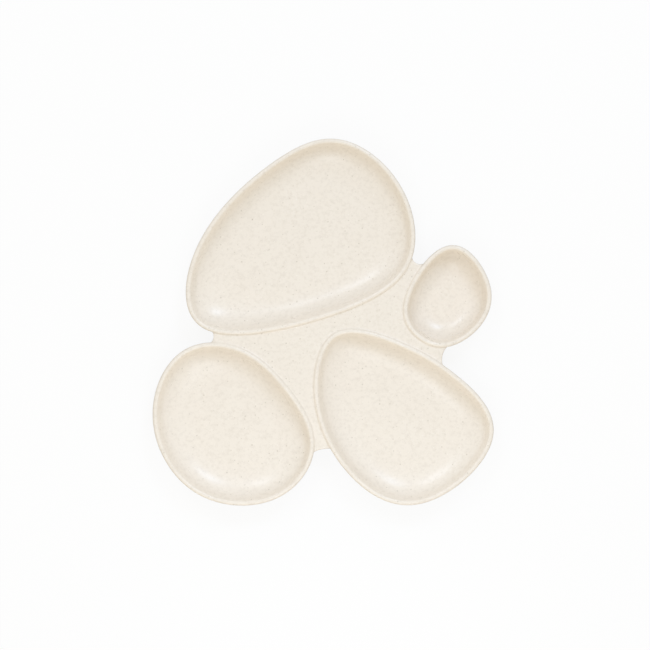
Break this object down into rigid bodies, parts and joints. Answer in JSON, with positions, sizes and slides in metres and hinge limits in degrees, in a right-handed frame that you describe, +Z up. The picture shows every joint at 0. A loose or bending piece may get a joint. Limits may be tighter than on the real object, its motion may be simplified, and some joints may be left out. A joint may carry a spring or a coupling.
{
  "type": "divided appetizer dish",
  "caption": "Divided appetizer dish: pebble-shaped wells of unlike size, each with a rounded raised rim, joined side by side by a flat, slightly sunken deck.",
  "frame": {"origin": "on the table, below the middle of the outline's bounding box", "axes": "+Z up out of the wells; +Y towards the large well, along the dish's longest extent; +X towards the small dip well"},
  "size_m": [0.2836, 0.3052, 0.025],
  "materials": {
    "fibre_large_well": "moulded bamboo fibre in resin, warm off-white with fine tan flecks, satin",
    "fibre_round_well": "moulded bamboo fibre in resin, warm off-white with fine tan flecks, satin",
    "fibre_oval_well": "moulded bamboo fibre in resin, warm off-white with fine tan flecks, satin",
    "fibre_dip_well": "moulded bamboo fibre in resin, warm off-white with fine tan flecks, satin",
    "fibre_deck": "moulded bamboo fibre in resin, warm off-white with fine tan flecks, satin"
  },
  "bodies": {
    "root": {"large_well": "fibre_large_well", "round_well": "fibre_round_well", "oval_well": "fibre_oval_well", "dip_well": "fibre_dip_well", "deck": "fibre_deck"}
  },
  "joints": []
}
